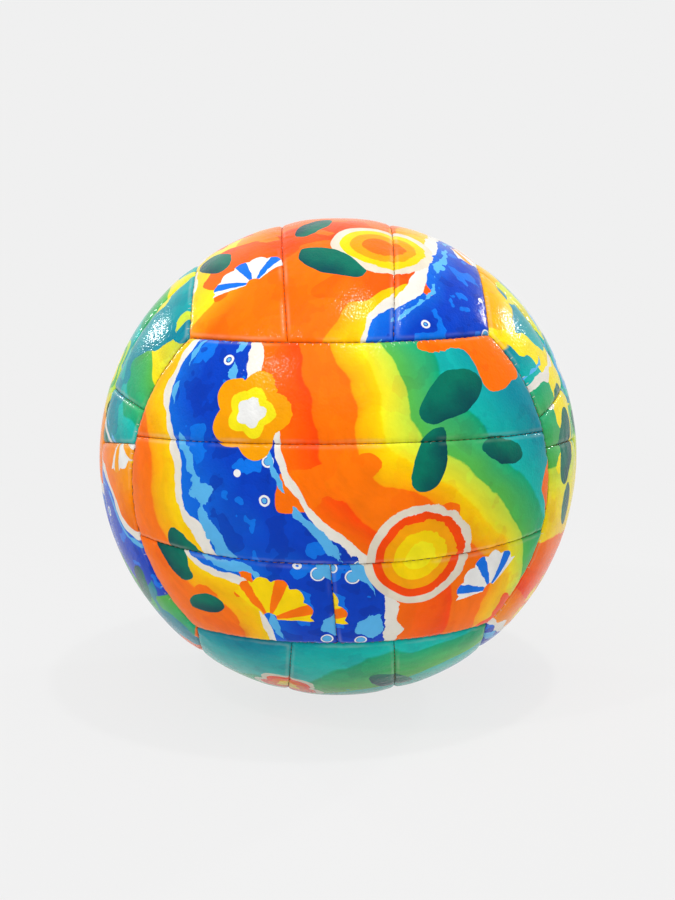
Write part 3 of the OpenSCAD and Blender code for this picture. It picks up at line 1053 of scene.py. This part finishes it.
# The leather swells past the ball's radius between its seams, so the floor lies lower
FLOOR_Z = -BALL_R - 0.33 * MM
bpy.ops.object.select_all(action="DESELECT")
bpy.ops.mesh.primitive_circle_add(
    vertices=96, radius=8, fill_type="NGON", location=(0, 0, FLOOR_Z)
)
floor = bpy.context.object
floor.name = "floor"
bpy.ops.object.transform_apply(location=True)
nodes = Nodes("pale_floor")
far = nodes.add("ShaderNodeVectorMath", {"operation": "LENGTH"}, {0: nodes.place}, output="Value")
paper = nodes.add("ShaderNodeBsdfDiffuse", None, {"Color": (0.80, 0.80, 0.80)})
glow = nodes.add("ShaderNodeEmission", None, {"Color": PALE})
seen = nodes.add("ShaderNodeLightPath", output="Is Camera Ray")
mirrored = nodes.add("ShaderNodeLightPath", output="Is Glossy Ray")
# The camera and the ball's gloss see mostly glow at the ball's foot, and only glow far out
share = nodes.spread(far, 0.14, 0.55, 0.88, 1.0)
looked = seen.math("MAXIMUM", mirrored)
nodes.add_output(nodes.add("ShaderNodeMixShader", None, {0: looked * share, 1: paper, 2: glow}))
floor.data.materials.append(nodes.material)


# Backdrop and fill light. The world is an even soft white, and shows as the same pale grey
# as the floor.
world = bpy.data.worlds.new("pale_backdrop")
bpy.context.scene.world = world
world.use_nodes = True
tree = world.node_tree
tree.nodes.clear()
path = tree.nodes.new("ShaderNodeLightPath")
soft, plain = (tree.nodes.new("ShaderNodeBackground") for _ in range(2))
soft.inputs["Color"].default_value = (1, 1, 1, 1)
soft.inputs["Strength"].default_value = 0.50
plain.inputs["Color"].default_value = (*PALE, 1)
either = tree.nodes.new("ShaderNodeMixShader")
looked = tree.nodes.new("ShaderNodeMath")
looked.operation = "MAXIMUM"
tree.links.new(path.outputs["Is Camera Ray"], looked.inputs[0])
tree.links.new(path.outputs["Is Glossy Ray"], looked.inputs[1])
tree.links.new(looked.outputs[0], either.inputs[0])
tree.links.new(soft.outputs[0], either.inputs[1])
tree.links.new(plain.outputs[0], either.inputs[2])
tree.links.new(either.outputs[0], tree.nodes.new("ShaderNodeOutputWorld").inputs["Surface"])


# Lamps. A broad softbox hangs over the ball, a little in front. Four small ones give the
# highlights on its top, on its upper left and at its sides, where the photograph has them.
LAMP_DISTANCE = 1.1
# Degrees round the ball from its front, degrees up, width in metres and power in watts
for name, azimuth, elevation, width, power in (
    ("overhead_softbox", -10, 56, 1.0, 3.7),
    ("top_softbox", 39, 76.5, 0.057, 4.4),
    ("left_softbox", -133, 22, 0.07, 1.6),
    ("right_softbox", 127, 27, 0.07, 2.5),
    ("front_softbox", -43, 48, 0.055, 2.4),
):
    a, e = math.radians(azimuth), math.radians(elevation)
    aim = Vector((math.sin(a) * math.cos(e), -math.cos(a) * math.cos(e), math.sin(e)))
    lamp = bpy.data.lights.new(name, "AREA")
    lamp.shape, lamp.size, lamp.energy = "SQUARE", width, power
    softbox = bpy.data.objects.new(name, lamp)
    softbox.location = aim * LAMP_DISTANCE
    softbox.rotation_euler = aim.to_track_quat("Z", "Y").to_euler()
    bpy.context.scene.collection.objects.link(softbox)


# Camera. It stands 0.69 m from the ball's centre, ten degrees above it and one degree to
# the left, as in the photograph.
lens = bpy.data.cameras.new("camera")
lens.lens, lens.sensor_width, lens.sensor_fit = 60.56, 36, "AUTO"
# The picture is shifted by pixels of the photograph, which is this many high
PHOTO_HEIGHT = 900
lens.shift_x, lens.shift_y = -0.5 / PHOTO_HEIGHT, 6.5 / PHOTO_HEIGHT
camera = bpy.data.objects.new("camera", lens)
pitch, yaw, roll = math.radians(10.46), math.radians(0.96), math.radians(-0.47)
distance = 0.686
back = Vector(
    (-math.sin(yaw) * math.cos(pitch), -math.cos(yaw) * math.cos(pitch), math.sin(pitch))
)
camera.matrix_world = (
    Matrix.Translation(back * distance)
    @ back.to_track_quat("Z", "Y").to_matrix().to_4x4()
    @ Matrix.Rotation(roll, 4, "Z")
)
bpy.context.scene.collection.objects.link(camera)
bpy.context.scene.camera = camera
bpy.context.scene.view_settings.view_transform = "Standard"
